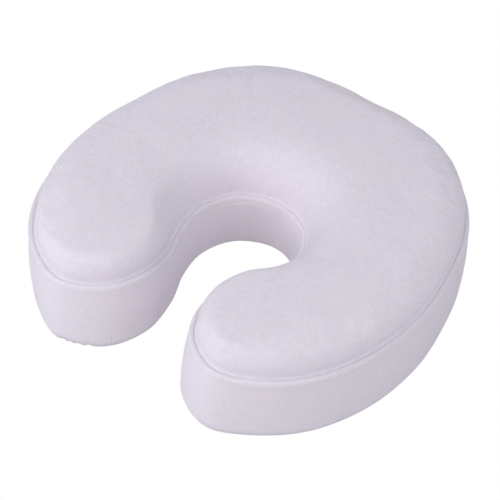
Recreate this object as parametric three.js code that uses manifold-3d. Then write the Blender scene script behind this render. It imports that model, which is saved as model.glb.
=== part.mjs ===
// A horseshoe face cradle cushion: two layers of foam in a zipped, sewn cover.
// Millimetres. +Z is up, -Y is the open end of the horseshoe, and the origin is under the
// middle of the whole outline, on the surface that the cushion rests on.

import * as THREE from 'three';
import { mergeVertices } from 'three/addons/utils/BufferGeometryUtils.js';
import Module from 'manifold-3d';

const wasm = await Module();
wasm.setup();

// Driving dimensions.
const HEIGHT = 85;
const SEAM_HEIGHT = 63;
const THROAT_DROP = 12;
const SHOULDER_WIDTH = 16.5;
const SCOOP_WIDTH = 40;
const SHOULDER_ROLL = 2.6;
const BULGE = 2;
const EDGE_RADIUS = 8;
const COVER = 1.5;
const GAP = 0.3;
const FOAM_CLEARANCE = 0.6;
const LAYER_SPLIT = 32;
const LOOP_TAPE = 2;
const SAMPLES = 96;

// Half of the outline at the top seam, about the centre of the throat: from the middle of
// the throat, down the inside of an arm, round its tip, and back to the middle of the rear.
// The third number is how far the foot of the wall stands out beyond the seam there.
const THROAT_Y = -15.6;
const HALF_OUTLINE = [
  [0, 38, -2.8], [27, 27.5, 0], [40.5, 0, 3],
  [38, -30, 4.4], [27.5, -58.5, 4.2], [23, -91, 3.4], [35, -121.5, 2.2],
  [65, -139, -1], [99.5, -125, -4], [126, -94.5, -2], [143, -50, 0],
  [148, 0, 1.4], [142.5, 44, 2.2], [128, 94.5, 3], [104, 130.5, 3.6], [69.5, 156, 4],
  [30.5, 165.5, 4], [0, 166.5, 4],
];

// Heights of the layers, from the surface that the cushion rests on.
const BASE = LOOP_TAPE + GAP;
const EDGE_TOP = BASE + EDGE_RADIUS;

// The zip, which runs from left to right across the underside of the crown.
const ZIP_Y = 76;
const ZIP_SLOT = 12;
const CHAIN_HALF = 92;
const CHAIN_GAP = 1.1;
const COIL_WIDTH = 1.6;
const COIL_BOTTOM = 4.05;
const COIL_HEIGHT = 1.6;
const TAPE_LENGTH = 222;
const TAPE_WIDTH = 12;
const TAPE_BOTTOM = 5.9;
const TAPE_HEIGHT = 0.5;
const TAPE_RECESS = [232, 2 * TAPE_WIDTH + 4, 6.8];
const SLIDER_RECESS = [210, 14, 8];

// The zip's slider and its pull tab.
const SLIDER_X = 87;
const SLIDER_LENGTH = 9;
const SLIDER_WIDTH = 6.6;
const PLATE = 0.8;
const LOWER_PLATE = 3;
const UPPER_PLATE = 6.65;
const BRIDGE_WIDTH = 1.8;
const BRIDGE_BOTTOM = 0.6;
const BRIDGE_BAR = 0.9;
const PULL_AXIS_Z = 2.25;
const PULL_THICKNESS = 1;
const PULL_WIDTH = 5.4;
const PULL_REACH = 20;
const STOP_LENGTH = 2.4;

const finishes = {
  velour: { color: 0xd7cfda, roughness: 0.95, metalness: 0 },
  memoryFoam: { color: 0xe9e2cf, roughness: 0.9, metalness: 0 },
  supportFoam: { color: 0xdfe3e4, roughness: 0.9, metalness: 0 },
  tape: { color: 0xd9d2dc, roughness: 0.85, metalness: 0 },
  coil: { color: 0xe4dfe6, roughness: 0.45, metalness: 0 },
  metal: { color: 0xb9bcc0, roughness: 0.35, metalness: 0.9 },
  loop: { color: 0xcfc8d3, roughness: 1, metalness: 0 },
  label: { color: 0xf3f1f2, roughness: 0.6, metalness: 0 },
};

const cushion = new THREE.Group();

function addMesh(name, geometry, finish) {
  const mesh = new THREE.Mesh(geometry, new THREE.MeshStandardMaterial(finishes[finish]));
  mesh.name = name;
  cushion.add(mesh);
  return mesh;
}

// Booleans.
function toSolid(geometry) {
  const bare = geometry.clone();
  bare.deleteAttribute('normal');
  bare.deleteAttribute('uv');
  const merged = mergeVertices(bare);
  const vertProperties = new Float32Array(merged.attributes.position.array);
  const triVerts = new Uint32Array(merged.index.array);
  return new wasm.Manifold(new wasm.Mesh({ numProp: 3, vertProperties, triVerts }));
}

function fromSolid(solid) {
  const { vertProperties, triVerts } = solid.getMesh();
  const geometry = new THREE.BufferGeometry();
  geometry.setAttribute('position', new THREE.BufferAttribute(vertProperties, 3));
  geometry.setIndex(new THREE.BufferAttribute(triVerts, 1));
  return geometry;
}

function box(sizeX, sizeY, bottom, top, x = 0, y = 0) {
  const block = new THREE.BoxGeometry(sizeX, sizeY, top - bottom);
  return block.translate(x, y, (bottom + top) / 2);
}

// The outline, sampled evenly, with the way out of the foam at each sample.
function throatShare(x, y, fadesOut, isFull) {
  const besideThroat = Math.abs(x) < 45 && y < 60;
  return besideThroat ? THREE.MathUtils.smoothstep(y, fadesOut, isFull) : 0;
}

function sampleOutline() {
  const leftHalf = HALF_OUTLINE.slice(1, -1).reverse().map(([x, y, foot]) => [-x, y, foot]);
  const points = [...HALF_OUTLINE, ...leftHalf].map((each) => new THREE.Vector3(...each));
  const curve = new THREE.CatmullRomCurve3(points, true, 'centripetal');
  curve.arcLengthDivisions = 2000;
  return Array.from({ length: SAMPLES }, (_, i) => {
    const point = curve.getPointAt(i / SAMPLES);
    const tangent = curve.getTangentAt(i / SAMPLES).setZ(0).normalize();
    const drop = THROAT_DROP * throatShare(point.x, point.y, -100, -35);
    const scooped = throatShare(point.x, point.y, -75, -5);
    return {
      x: point.x,
      y: point.y + THROAT_Y,
      outX: tangent.y,
      outY: -tangent.x,
      foot: point.z,
      seam: SEAM_HEIGHT - drop,
      shoulder: THREE.MathUtils.lerp(SHOULDER_WIDTH, SCOOP_WIDTH, scooped),
    };
  });
}

const outline = sampleOutline();

// A row is one point for each sample of the outline: how far out of it, and how high.
function row(place) {
  return outline.map((at) => {
    const [out, z] = place(at);
    return new THREE.Vector3(at.x + at.outX * out, at.y + at.outY * out, z);
  });
}

// Bottom rows first. An open stack of rows is closed by flat caps, and a looped one joins
// its last row to its first, which makes a shell that runs round the whole outline.
function loft(rows, looped) {
  const position = rows.flat().flatMap((p) => [p.x, p.y, p.z]);
  const index = [];
  const spans = looped ? rows.length : rows.length - 1;
  for (let i = 0; i < spans; i += 1) {
    const low = i * SAMPLES;
    const high = ((i + 1) % rows.length) * SAMPLES;
    for (let j = 0; j < SAMPLES; j += 1) {
      const next = (j + 1) % SAMPLES;
      index.push(low + j, low + next, high + next, low + j, high + next, high + j);
    }
  }
  if (!looped) {
    const last = (rows.length - 1) * SAMPLES;
    for (const [a, b, c] of THREE.ShapeUtils.triangulateShape(rows[0], [])) {
      index.push(a, c, b);
    }
    for (const [a, b, c] of THREE.ShapeUtils.triangulateShape(rows.at(-1), [])) {
      index.push(last + a, last + b, last + c);
    }
  }
  const geometry = new THREE.BufferGeometry();
  geometry.setAttribute('position', new THREE.Float32BufferAttribute(position, 3));
  geometry.setIndex(index);
  return geometry;
}

// Rows of the outer surface, and of the surfaces that lie a depth inside it.
function edgeRow(turn, depth) {
  const radius = EDGE_RADIUS - depth;
  const out = radius * Math.sin(turn) - EDGE_RADIUS;
  return row((at) => [at.foot + out, EDGE_TOP - radius * Math.cos(turn)]);
}

function wallOut(at, share) {
  return at.foot * (1 - share) + BULGE * Math.sin(Math.PI * share);
}

function wallRow(share, depth, lower = 0) {
  return row((at) => {
    const z = EDGE_TOP + (at.seam - EDGE_TOP) * share;
    return [wallOut(at, share) - depth, z - lower];
  });
}

function levelRow(z, depth) {
  return row((at) => {
    const share = (z - EDGE_TOP) / (at.seam - EDGE_TOP);
    return [wallOut(at, share) - depth, z];
  });
}

function topRow(share, depth) {
  return row((at) => {
    const rise = HEIGHT - at.seam;
    const steepness = (SHOULDER_ROLL * rise * (1 - share) ** (SHOULDER_ROLL - 1)) / at.shoulder;
    const lean = share === 0 ? Math.PI / 2 : Math.atan(steepness);
    const z = HEIGHT - rise * (1 - share) ** SHOULDER_ROLL;
    return [-at.shoulder * share - depth * Math.sin(lean), z - depth * Math.cos(lean)];
  });
}

const EDGE_TURNS = [0, 0.25, 0.5, 0.75, 1].map((share) => (share * Math.PI) / 2);
const WALL_SHARES = [0.25, 0.5, 0.75];
const TOP_SHARES = [0, 0.07, 0.2, 0.42, 0.7, 1];

function makeTopPanel() {
  const underside = TOP_SHARES.map((share) => topRow(share, COVER));
  const outside = TOP_SHARES.map((share) => topRow(share, 0));
  addMesh('top_panel', loft([...underside.reverse(), ...outside]), 'velour');
}

function makeSideBand() {
  const surface = (depth) => [
    ...EDGE_TURNS.map((turn) => edgeRow(turn, depth)),
    ...WALL_SHARES.map((share) => wallRow(share, depth)),
    wallRow(1, depth, GAP),
  ];
  addMesh('side_band', loft([...surface(0), ...surface(COVER).reverse()], true), 'velour');
}

function makeMemoryFoam() {
  const depth = COVER + FOAM_CLEARANCE;
  const walls = [LAYER_SPLIT + GAP / 2, 40].map((z) => levelRow(z, depth));
  const top = TOP_SHARES.map((share) => topRow(share, depth));
  addMesh('memory_foam', loft([...walls, ...top]), 'memoryFoam');
}

function makeSupportFoam() {
  const depth = COVER + GAP;
  const edge = EDGE_TURNS.map((turn) => edgeRow(turn, depth));
  const walls = [21, LAYER_SPLIT - GAP / 2].map((z) => levelRow(z, depth));
  const recesses = [TAPE_RECESS, SLIDER_RECESS].map(([length, width, height]) =>
    toSolid(box(length, width, 0, height, 0, ZIP_Y)));
  const block = toSolid(loft([...edge, ...walls]));
  addMesh('support_foam', fromSolid(block.subtract(recesses[0]).subtract(recesses[1])), 'supportFoam');
}

// The bottom panel is in two parts, with the zip between them.
function makeBottomPanels() {
  const heights = [BASE, BASE + COVER];
  const sheet = toSolid(loft(heights.map((z) => row((at) => [at.foot - EDGE_RADIUS - GAP, z]))));
  const half = 400;
  for (const [name, side] of [['bottom_panel_front', -1], ['bottom_panel_rear', 1]]) {
    const y = ZIP_Y + side * (half + ZIP_SLOT) / 2;
    const part = sheet.intersect(toSolid(box(half, half, 0, HEIGHT, 0, y)));
    addMesh(name, fromSolid(part), 'velour');
  }
}

function roundedRectangle(width, length, radius) {
  const x = width / 2 - radius;
  const y = length / 2 - radius;
  const shape = new THREE.Shape();
  shape.absarc(x, -y, radius, -Math.PI / 2, 0);
  shape.absarc(x, y, radius, 0, Math.PI / 2);
  shape.absarc(-x, y, radius, Math.PI / 2, Math.PI);
  shape.absarc(-x, -y, radius, Math.PI, 1.5 * Math.PI);
  return shape;
}

// Loop tape on the underside, which grips the hook tape on a cradle's frame.
function makeLoopTapes() {
  const arm = roundedRectangle(38, 130, 6);
  const rear = roundedRectangle(110, 34, 6);
  const tapes = [
    ['loop_tape_left', arm, -86, -44, 0.12],
    ['loop_tape_right', arm, 86, -44, -0.12],
    ['loop_tape_rear', rear, 0, 116, 0],
  ];
  for (const [name, shape, x, y, turn] of tapes) {
    const options = { depth: LOOP_TAPE, bevelEnabled: false, curveSegments: 4 };
    const tape = addMesh(name, new THREE.ExtrudeGeometry(shape, options), 'loop');
    tape.position.set(x, y, 0);
    tape.rotation.z = turn;
  }
}

function makeCareLabel() {
  const thickness = 0.6;
  const label = addMesh('care_label', new THREE.BoxGeometry(26, 16, thickness), 'label');
  label.position.set(-82, 103, BASE - GAP - thickness / 2);
  label.rotation.z = 0.75;
}

// Each half of the chain: a coil of nylon under the edge of its tape, ended by metal stops.
function makeZipChain() {
  for (const [name, side] of [['front', -1], ['rear', 1]]) {
    const tapeY = ZIP_Y + side * (CHAIN_GAP + TAPE_WIDTH) / 2;
    const coilY = ZIP_Y + side * (CHAIN_GAP + COIL_WIDTH) / 2;
    const coilTop = COIL_BOTTOM + COIL_HEIGHT;
    const tapeTop = TAPE_BOTTOM + TAPE_HEIGHT;
    const stopX = CHAIN_HALF + GAP + STOP_LENGTH / 2;
    const tape = box(TAPE_LENGTH, TAPE_WIDTH, TAPE_BOTTOM, tapeTop, 0, tapeY);
    const coil = box(2 * CHAIN_HALF, COIL_WIDTH, COIL_BOTTOM, coilTop, 0, coilY);
    const stop = box(STOP_LENGTH, COIL_WIDTH, COIL_BOTTOM, coilTop, stopX, coilY);
    addMesh(`zip_tape_${name}`, tape, 'tape');
    addMesh(`zip_coil_${name}`, coil, 'coil');
    addMesh(`zip_top_stop_${name}`, stop, 'metal');
  }
  const stopWidth = 2 * COIL_WIDTH + CHAIN_GAP;
  const stopX = -CHAIN_HALF - GAP - STOP_LENGTH / 2;
  const lowerStop = box(STOP_LENGTH, stopWidth, COIL_BOTTOM, COIL_BOTTOM + COIL_HEIGHT, stopX, ZIP_Y);
  addMesh('zip_bottom_stop', lowerStop, 'metal');
}

// The slider: two plates that hold the chain between them, joined by a thin web that runs
// in the gap between the coils, with turned-up flanges and a bridge for the pull tab.
function sliderPlate(bottom) {
  const nose = SLIDER_LENGTH / 2;
  const half = SLIDER_WIDTH / 2;
  const shape = new THREE.Shape();
  shape.moveTo(-nose, -half + 0.9);
  shape.lineTo(-nose + 1.4, -half);
  shape.lineTo(nose - 1, -half);
  shape.quadraticCurveTo(nose, -half, nose, 0);
  shape.quadraticCurveTo(nose, half, nose - 1, half);
  shape.lineTo(-nose + 1.4, half);
  shape.lineTo(-nose, half - 0.9);
  const options = { depth: PLATE, bevelEnabled: false, curveSegments: 5 };
  return new THREE.ExtrudeGeometry(shape, options).translate(SLIDER_X, ZIP_Y, bottom);
}

function makeSlider() {
  const bridgeLeg = 1;
  const bridgeReach = 3;
  const flange = 0.8;
  const flangeTop = 5.5;
  const sink = 0.2;
  const pieces = [
    sliderPlate(UPPER_PLATE),
    box(3, 0.5, LOWER_PLATE + sink, UPPER_PLATE + sink, SLIDER_X + 2.5, ZIP_Y),
    box(2 * bridgeReach, BRIDGE_WIDTH, BRIDGE_BOTTOM, BRIDGE_BOTTOM + BRIDGE_BAR, SLIDER_X, ZIP_Y),
  ];
  for (const side of [-1, 1]) {
    const legX = SLIDER_X + side * (bridgeReach - bridgeLeg / 2);
    const flangeY = ZIP_Y + side * (SLIDER_WIDTH - flange) / 2;
    pieces.push(box(bridgeLeg, BRIDGE_WIDTH, BRIDGE_BOTTOM, LOWER_PLATE + sink, legX, ZIP_Y));
    pieces.push(box(SLIDER_LENGTH - 3, flange, LOWER_PLATE + sink, flangeTop, SLIDER_X, flangeY));
  }
  const slider = pieces.reduce((sum, piece) => sum.add(toSolid(piece)), toSolid(sliderPlate(LOWER_PLATE)));
  addMesh('zip_slider', fromSolid(slider), 'metal');
}

// The pull tab lies back along the closed chain. Its end bar turns in the slider's bridge.
function makePull() {
  const bar = PULL_THICKNESS / 2;
  const windowReach = 3.8;
  const windowHalf = 1.5;
  const half = PULL_WIDTH / 2;
  const waist = 1.9;
  const shape = new THREE.Shape();
  shape.moveTo(bar, -half);
  shape.lineTo(bar, half);
  shape.lineTo(-windowReach - 1, half);
  shape.lineTo(-9, waist);
  shape.lineTo(-13, waist);
  shape.absarc(-PULL_REACH + half, 0, half, Math.PI / 2, 1.5 * Math.PI);
  shape.lineTo(-13, -waist);
  shape.lineTo(-9, -waist);
  shape.lineTo(-windowReach - 1, -half);
  const options = { depth: PULL_THICKNESS, bevelEnabled: false, curveSegments: 8 };
  const tab = toSolid(new THREE.ExtrudeGeometry(shape, options));
  const windowX = -(windowReach + bar) / 2;
  const opening = toSolid(box(windowReach - bar, 2 * windowHalf, -1, PULL_THICKNESS + 1, windowX));
  const pull = addMesh('zip_pull', fromSolid(tab.subtract(opening)), 'metal');
  pull.position.set(SLIDER_X, ZIP_Y, PULL_AXIS_Z - PULL_THICKNESS / 2);
}

makeMemoryFoam();
makeSupportFoam();
makeTopPanel();
makeSideBand();
makeBottomPanels();
makeZipChain();
makeSlider();
makePull();
makeLoopTapes();
makeCareLabel();

export default cushion;
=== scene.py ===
import math

import bmesh
import bpy
import numpy as np
from mathutils import Matrix, Vector, noise
from mathutils.geometry import delaunay_2d_cdt


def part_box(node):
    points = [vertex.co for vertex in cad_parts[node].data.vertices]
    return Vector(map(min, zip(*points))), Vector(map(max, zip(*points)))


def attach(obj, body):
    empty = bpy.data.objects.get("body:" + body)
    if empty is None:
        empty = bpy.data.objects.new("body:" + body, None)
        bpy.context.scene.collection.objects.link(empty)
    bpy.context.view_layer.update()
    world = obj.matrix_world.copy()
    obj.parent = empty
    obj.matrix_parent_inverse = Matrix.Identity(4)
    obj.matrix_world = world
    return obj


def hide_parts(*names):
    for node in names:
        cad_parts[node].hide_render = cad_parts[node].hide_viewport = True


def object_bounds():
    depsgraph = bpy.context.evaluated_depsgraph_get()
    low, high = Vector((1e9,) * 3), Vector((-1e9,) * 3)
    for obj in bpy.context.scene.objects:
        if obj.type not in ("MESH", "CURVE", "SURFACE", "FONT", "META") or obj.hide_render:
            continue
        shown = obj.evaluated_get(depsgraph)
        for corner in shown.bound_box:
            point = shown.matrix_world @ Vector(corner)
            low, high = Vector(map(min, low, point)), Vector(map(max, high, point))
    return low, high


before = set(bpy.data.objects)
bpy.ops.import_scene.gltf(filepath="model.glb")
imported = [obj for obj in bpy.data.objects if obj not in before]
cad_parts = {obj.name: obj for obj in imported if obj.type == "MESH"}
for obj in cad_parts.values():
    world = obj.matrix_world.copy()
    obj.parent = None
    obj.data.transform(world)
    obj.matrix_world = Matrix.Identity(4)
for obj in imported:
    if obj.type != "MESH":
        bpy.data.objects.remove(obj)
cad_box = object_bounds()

scene = bpy.context.scene
bpy.ops.object.select_all(action="DESELECT")

# ---------------------------------------------------------------------------------------
# The camera looks down on the open end of the horseshoe from its right, with a long lens,
# and is held a little out of level.
THROAT = Vector((0, -0.0156, 0.030))
CAMERA_DISTANCE = 1.3745
azimuth, elevation, roll = math.radians(30.1), math.radians(43.0), math.radians(7.54)
back = Vector((math.sin(azimuth) * math.cos(elevation), -math.cos(azimuth) * math.cos(elevation),
               math.sin(elevation)))
level = Vector((math.cos(azimuth), math.sin(azimuth), 0))
upward = back.cross(level)
across = level * math.cos(roll) + upward * math.sin(roll)
top_of_view = upward * math.cos(roll) - level * math.sin(roll)
camera_data = bpy.data.cameras.new("camera")
camera_data.lens = 134.95
camera_data.sensor_width = 36
camera_data.shift_x = 0.0074
camera_data.shift_y = 0.0078
camera = bpy.data.objects.new("camera", camera_data)
held_so = Matrix((across, top_of_view, back)).transposed().to_4x4()
camera.matrix_world = Matrix.Translation(THROAT + back * CAMERA_DISTANCE) @ held_so
scene.collection.objects.link(camera)
scene.camera = camera

# ---------------------------------------------------------------------------------------
# The studio: a white floor that shows as plain white, even light from all round, and five soft
# lamps, the strongest on the left. The floor is clear from beneath, and to light that leaves
# the cushion close over it, so that the underside can be seen too.
FLOOR_SIZE = 12
FLOOR_LEVEL = -0.0005
CLOSE_OVER_FLOOR = 0.014
scene.view_settings.view_transform = "Standard"
bpy.ops.mesh.primitive_plane_add(size=FLOOR_SIZE, location=(0, 0, FLOOR_LEVEL))
floor = bpy.context.object
floor.name = "studio_floor"
floor_finish = bpy.data.materials.new("studio_floor")
floor_finish.use_nodes = True
floor_tree = floor_finish.node_tree
floor_tree.nodes.clear()


def add_node(tree, kind, links=(), **settings):
    """A node with its settings; in_2=5 sets its third socket."""
    node = tree.nodes.new(kind)
    for name, value in settings.items():
        if name.startswith("in_"):
            node.inputs[int(name[3:])].default_value = value
        else:
            setattr(node, name, value)
    for source, socket in links:
        tree.links.new(source, node.inputs[socket])
    return node


ray = add_node(floor_tree, "ShaderNodeLightPath")
side = add_node(floor_tree, "ShaderNodeNewGeometry")
matt = add_node(floor_tree, "ShaderNodeBsdfDiffuse", in_0=(0.88, 0.85, 0.86, 1))
white = add_node(floor_tree, "ShaderNodeEmission", in_0=(1, 1, 1, 1), in_1=1.0)
clear = add_node(floor_tree, "ShaderNodeBsdfTransparent")
under = add_node(floor_tree, "ShaderNodeMath", [(ray.outputs["Ray Length"], 0)], operation="LESS_THAN",
                 in_1=CLOSE_OVER_FLOOR)
opened = add_node(floor_tree, "ShaderNodeMath", [(side.outputs["Backfacing"], 0), (under.outputs[0], 1)],
                  operation="MAXIMUM")
seen = add_node(floor_tree, "ShaderNodeMixShader",
                [(ray.outputs["Is Camera Ray"], 0), (matt.outputs[0], 1), (white.outputs[0], 2)])
floor_mix = add_node(floor_tree, "ShaderNodeMixShader",
                     [(opened.outputs[0], 0), (seen.outputs[0], 1), (clear.outputs[0], 2)])
add_node(floor_tree, "ShaderNodeOutputMaterial", [(floor_mix.outputs[0], 0)])
floor.data.materials.append(floor_finish)

LAMP_TINT = (0.92, 0.935, 1)
LAMP_SIZE = 1.0
LAMP_REACH = 1.5
ALL_ROUND = 0.43
world = bpy.data.worlds.new("studio")
world.use_nodes = True
world.node_tree.nodes["Background"].inputs["Color"].default_value = (*LAMP_TINT, 1)
world.node_tree.nodes["Background"].inputs["Strength"].default_value = ALL_ROUND
scene.world = world


def softbox(name, turn, height_angle, watts):
    """A square lamp at an angle round from the camera and above the floor, aimed at the throat."""
    light = bpy.data.lights.new(name, "AREA")
    light.size = LAMP_SIZE
    light.energy = watts
    light.color = LAMP_TINT
    lamp = bpy.data.objects.new(name, light)
    around, above = azimuth + math.radians(turn), math.radians(height_angle)
    way = Vector((math.sin(around) * math.cos(above), -math.cos(around) * math.cos(above), math.sin(above)))
    lamp.location = THROAT + way * LAMP_REACH
    lamp.rotation_euler = way.to_track_quat("Z", "Y").to_euler()
    scene.collection.objects.link(lamp)


softbox("softbox_left", -75, 35, 6.5)
softbox("softbox_front_left", -40, 25, 4.1)
softbox("softbox_front", 0, 50, 2.2)
softbox("softbox_right", 60, 25, 2.3)
softbox("softbox_over_right", 90, 60, 2.8)

# ---------------------------------------------------------------------------------------
# The cushion's shape. The sewn outline is a spline through half a template, mirrored. A
# template point is x, y and how far the foot stands out beyond the seam, in millimetres. A row
# is a closed line of points, one for each station of the outline, at an offset and a height.
MM = 0.001
STATIONS = 480
HEIGHT = cad_box[1].z
SEAM_HEIGHT = 63 * MM
THROAT_DROP = 12 * MM
SHOULDER = 16.5 * MM
SCOOP = 40 * MM
EDGE_RADIUS = 8 * MM
BASE = 2.3 * MM
EDGE_TOP = BASE + EDGE_RADIUS
ROLL_OVER = 2.6
TUCK_FADE = 7
SPLINE_STEPS = 40
THROAT_HALF_WIDTH = 0.045
THROAT_END = 0.060
SEAM_DIPS = (-0.100, -0.035)
SCOOP_DEEPENS = (-0.075, -0.005)
TEMPLATE = [
    (0, 38, -2.8), (27, 27.5, 0), (40.5, 0, 3),
    (38, -30, 4.4), (27.5, -58.5, 4.2), (23, -91, 3.4), (35, -121.5, 2.2),
    (65, -139, -1), (99.5, -125, -4), (126, -94.5, -2), (143, -50, 0),
    (148, 0, 1.4), (142.5, 44, 2.2), (128, 94.5, 3), (104, 130.5, 3.6), (69.5, 156, 4),
    (30.5, 165.5, 4), (0, 166.5, 4),
]


def smooth_share(value, low, high):
    share = np.clip((value - low) / (high - low), 0, 1)
    return share * share * (3 - 2 * share)


def closed_spline(points, steps):
    """A centripetal Catmull-Rom curve through the points."""
    before, after, second = np.roll(points, 1, 0), np.roll(points, -1, 0), np.roll(points, -2, 0)
    gap = np.sqrt(np.linalg.norm(after - points, axis=1))[:, None]
    gap_before, gap_after = np.roll(gap, 1, 0), np.roll(gap, -1, 0)
    leave = (points - before) / gap_before - (after - before) / (gap_before + gap) + (after - points) / gap
    arrive = (after - points) / gap - (second - points) / (gap + gap_after) + (second - after) / gap_after
    leave, arrive = leave * gap, arrive * gap
    curve = []
    for share in np.arange(steps) / steps:
        square, cube = share ** 2, share ** 3
        curve.append(points * (2 * cube - 3 * square + 1) + leave * (cube - 2 * square + share)
                     + after * (3 * square - 2 * cube) + arrive * (cube - square))
    return np.stack(curve, 1).reshape(-1, points.shape[1])


def spaced_evenly(line, count):
    ring = np.vstack([line, line[:1]])
    length = np.concatenate([[0], np.cumsum(np.linalg.norm(np.diff(ring[:, :2], axis=0), axis=1))])
    at = np.linspace(0, length[-1], count, endpoint=False)
    return np.stack([np.interp(at, length, ring[:, k]) for k in range(ring.shape[1])], 1)


def outward_from(line):
    along = np.roll(line, -1, 0)[:, :2] - np.roll(line, 1, 0)[:, :2]
    along /= np.linalg.norm(along, axis=1)[:, None]
    return np.stack([along[:, 1], -along[:, 0]], 1)


half = np.array(TEMPLATE, float) * MM
template = np.vstack([half, half[-2:0:-1] * (-1, 1, 1)])
outline = spaced_evenly(closed_spline(template, SPLINE_STEPS), STATIONS)
OUT = outward_from(outline)
AT = outline[:, :2] + (0, THROAT.y)
FOOT = outline[:, 2]
beside_throat = (np.abs(AT[:, 0]) < THROAT_HALF_WIDTH) & (outline[:, 1] < THROAT_END)
SEAM = SEAM_HEIGHT - THROAT_DROP * np.where(beside_throat, smooth_share(outline[:, 1], *SEAM_DIPS), 0)
SCOOPED = np.where(beside_throat, smooth_share(outline[:, 1], *SCOOP_DEEPENS), 0)
SHOULDERS = SHOULDER + (SCOOP - SHOULDER) * SCOOPED


def row(out, height):
    """The outline's stations, moved outward and set at a height."""
    out = np.broadcast_to(out, STATIONS)
    return np.column_stack([AT + OUT * out[:, None], np.broadcast_to(height, STATIONS)])


def edge_row(turn, depth=0.0):
    """A row round the lower edge, by its turn from facing down. Depth goes in from the skin."""
    radius = EDGE_RADIUS - depth
    return row(FOOT + radius * math.sin(turn) - EDGE_RADIUS, EDGE_TOP - radius * math.cos(turn))


def wall_row(share, bulge, depth=0.0):
    """A row of the side wall, by its share of the way from the edge up to the seam."""
    out = FOOT * (1 - share) + bulge * np.sin(np.pi * share) - depth
    return row(out, EDGE_TOP + (SEAM - EDGE_TOP) * share)


def shoulder_row(share, depth=0.0, tuck=0.0):
    """A row of the roll from the seam to the flat top. A tuck pulls its foot in at the seam."""
    rise = HEIGHT - SEAM
    lean = np.arctan(ROLL_OVER * rise * (1 - share) ** (ROLL_OVER - 1) / SHOULDERS)
    out = -SHOULDERS * share - tuck * (1 - share) ** TUCK_FADE
    height = HEIGHT - rise * (1 - share) ** ROLL_OVER
    return row(out - depth * np.sin(lean), height - depth * np.cos(lean))


def inside(points, line):
    """Which points lie inside the closed line."""
    x, y = points[:, :1], points[:, 1:2]
    ax, ay = line[:, 0], line[:, 1]
    bx, by = np.roll(ax, -1), np.roll(ay, -1)
    spans = (ay > y) != (by > y)
    crossing = ax + (y - ay) * (bx - ax) / np.where(by == ay, 1e-12, by - ay)
    return ((spans & (x < crossing)).sum(1) % 2) == 1


def fill(line, spacing):
    """Even triangles inside a closed line: new points, and triangles that number the line first."""
    batch, least_gap = 1000, 0.62 * spacing
    low, high = line.min(0), line.max(0)
    grid = []
    for k, y in enumerate(np.arange(low[1], high[1], spacing * math.sqrt(0.75))):
        grid += [(x, y) for x in np.arange(low[0] + (k % 2) * spacing / 2, high[0], spacing)]
    grid = np.array(grid)
    grid = grid[inside(grid, line)]
    far = np.ones(len(grid), bool)
    for start in range(0, len(grid), batch):
        part = grid[start:start + batch]
        nearest = np.linalg.norm(part[:, None] - line[None], axis=2).min(1)
        far[start:start + batch] = nearest > least_gap
    grid = grid[far]
    count = len(line)
    corners = [Vector(p) for p in np.vstack([line, grid])]
    edges = [(i, (i + 1) % count) for i in range(count)]
    _, _, triangles, _, _, _ = delaunay_2d_cdt(corners, edges, [], 1, 1e-9)
    return grid, [tuple(t) for t in triangles]


def stitched_rows(rows):
    """Quads between rows, numbered from the first row's first point."""
    quads = []
    count = len(rows[0])
    for i in range(len(rows) - 1):
        low, high = i * count, (i + 1) * count
        quads += [(low + j, low + (j + 1) % count, high + (j + 1) % count, high + j) for j in range(count)]
    return quads


def renumber(triangles, line_start, grid_start, turn_over=False):
    """Triangles from fill, numbered for a mesh that holds its line and its grid elsewhere."""
    faces = [tuple(line_start + i if i < STATIONS else grid_start + i - STATIONS for i in t)
             for t in triangles]
    return [f[::-1] for f in faces] if turn_over else faces


def make_mesh(name, points, faces):
    mesh = bpy.data.meshes.new(name)
    mesh.from_pydata([tuple(p) for p in points], [], faces)
    mesh.update()
    mesh.shade_smooth()
    piece = bpy.data.objects.new(name, mesh)
    scene.collection.objects.link(piece)
    return piece


def finish_piece(piece, body, finish, slot, *nodes):
    """Gives a piece its material, the body that it moves with, and the nodes that it stands for."""
    piece.data.materials.clear()
    piece.data.materials.append(finish)
    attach(piece, body)
    if nodes:
        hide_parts(*nodes)
    return piece


def apply_modifiers(piece):
    bpy.ops.object.select_all(action="DESELECT")
    bpy.context.view_layer.objects.active = piece
    piece.select_set(True)
    for modifier in list(piece.modifiers):
        bpy.ops.object.modifier_apply(modifier=modifier.name)
    piece.select_set(False)


# ---------------------------------------------------------------------------------------
# Foam core. A firm support layer lies under a moulded slow-recovery layer that has the scoop
# round the throat. Both are loose in the cover, pressed in where its seam allowances lie.
START_BULGE = 1.3 * MM
ZIP_Y = (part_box("zip_tape_front")[1].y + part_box("zip_tape_rear")[0].y) / 2
# Each layer is a run of rows from its base up. The first number of a pair places the row: a
# turn round the edge, a height in millimetres, or a share of the wall or the shoulder. The
# second is how far the foam lies in from the skin, in millimetres.
SUPPORT_EDGE = [(0, 3.2), (0.2, 3.0), (0.45, 2.4), (0.8, 2.0), (1.2, 1.9), (math.pi / 2, 1.9)]
SUPPORT_LEVELS = [(15, 1.9), (20, 1.9), (25, 1.9), (29.5, 1.9), (31, 2.2), (31.6, 2.8), (31.75, 3.6)]
MEMORY_LEVELS = [(32.2, 3.8), (32.35, 2.9), (33, 2.3), (35, 2.0), (39, 2.0)]
MEMORY_WALL = [(0.75, 2.6), (0.86, 4.2), (0.93, 6.4)]
MEMORY_SHOULDER = [(0, 8.2), (0.07, 7.4), (0.16, 6.0), (0.26, 4.8), (0.4, 3.8), (0.55, 3.2), (0.7, 3.1),
                   (0.85, 3.1), (1, 3.1)]


def level_row(height, depth):
    """A row of the side wall at one height all round."""
    share = (height - EDGE_TOP) / (SEAM - EDGE_TOP)
    return row(FOOT * (1 - share) + START_BULGE * np.sin(np.pi * share) - depth, height)


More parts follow.
